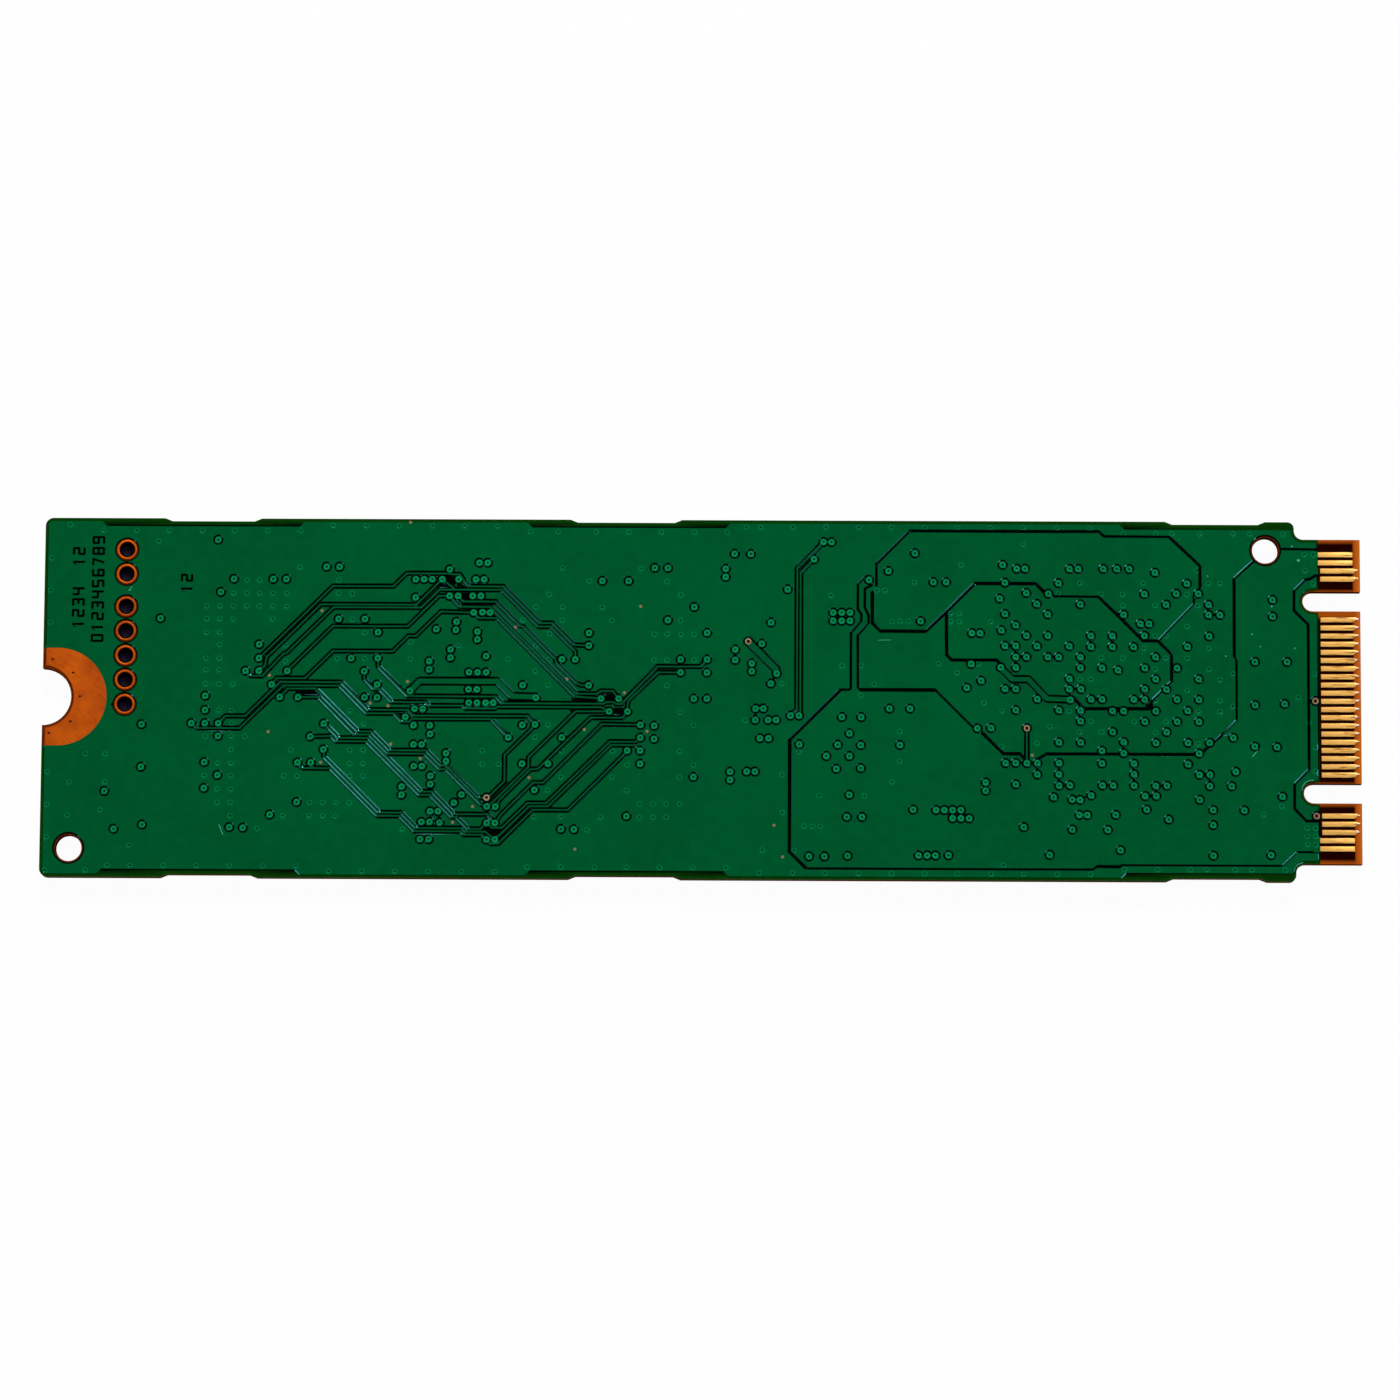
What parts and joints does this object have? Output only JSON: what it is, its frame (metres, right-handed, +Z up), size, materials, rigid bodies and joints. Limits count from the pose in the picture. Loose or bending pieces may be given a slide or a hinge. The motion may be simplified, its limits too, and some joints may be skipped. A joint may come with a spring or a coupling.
{
  "type": "gumstick solid state drive",
  "caption": "Long narrow card-edge solid state drive: green circuit board with a bare rear face, half-round screw notch, keyed gold contacts and chips on the underside.",
  "frame": {"origin": "under the middle of the card, on the plane of the flash chips' tops that it rests on", "axes": "+X along the card to its contacts, +Z up out of the bare rear face"},
  "size_m": [0.08, 0.022, 0.002],
  "materials": {
    "laminate": "cut and routed glass-epoxy laminate",
    "solder_mask": "green lacquer, satin",
    "copper": "bare copper with a thin clear preservative",
    "contact_gold": "hard gold plating, fine scratches along the contacts",
    "chip_mould": "black moulded epoxy",
    "chip_base": "saw-cut package base",
    "solder": "bright tin solder",
    "crystal_ceramic": "dark fired ceramic",
    "crystal_metal": "satin plated lid",
    "inductor_ferrite": "grey pressed ferrite",
    "capacitor_ceramic": "tan fired ceramic",
    "resistor_ceramic": "black glaze on ceramic"
  },
  "bodies": {
    "root": {"circuit_board": "laminate", "rear_solder_mask": "solder_mask", "front_solder_mask": "solder_mask", "rear_screw_pad": "copper", "front_screw_pad": "copper", "plated_holes": "copper", "power_chip_body": "chip_mould", "power_chip_lands": "solder", "boot_chip_body": "chip_mould", "boot_chip_lands": "solder", "crystal_base": "crystal_ceramic", "crystal_lid": "crystal_metal", "crystal_lands": "solder", "inductor_bodies": "inductor_ferrite", "inductor_terminals": "solder", "large_capacitor_bodies": "capacitor_ceramic", "large_capacitor_ends": "solder", "small_capacitor_bodies": "capacitor_ceramic", "small_capacitor_ends": "solder", "resistor_bodies": "resistor_ceramic", "resistor_ends": "solder", "rear_contacts_key_m": "contact_gold", "rear_contacts_centre": "contact_gold", "rear_contacts_key_b": "contact_gold", "front_contacts_key_m": "contact_gold", "front_contacts_centre": "contact_gold", "front_contacts_key_b": "contact_gold", "flash_chip_1_body": "chip_mould", "flash_chip_1_base": "chip_base", "flash_chip_1_balls": "solder", "flash_chip_2_body": "chip_mould", "flash_chip_2_base": "chip_base", "flash_chip_2_balls": "solder", "memory_chip_body": "chip_mould", "memory_chip_base": "chip_base", "memory_chip_balls": "solder", "controller_chip_body": "chip_mould", "controller_chip_base": "chip_base", "controller_chip_balls": "solder"}
  },
  "joints": []
}
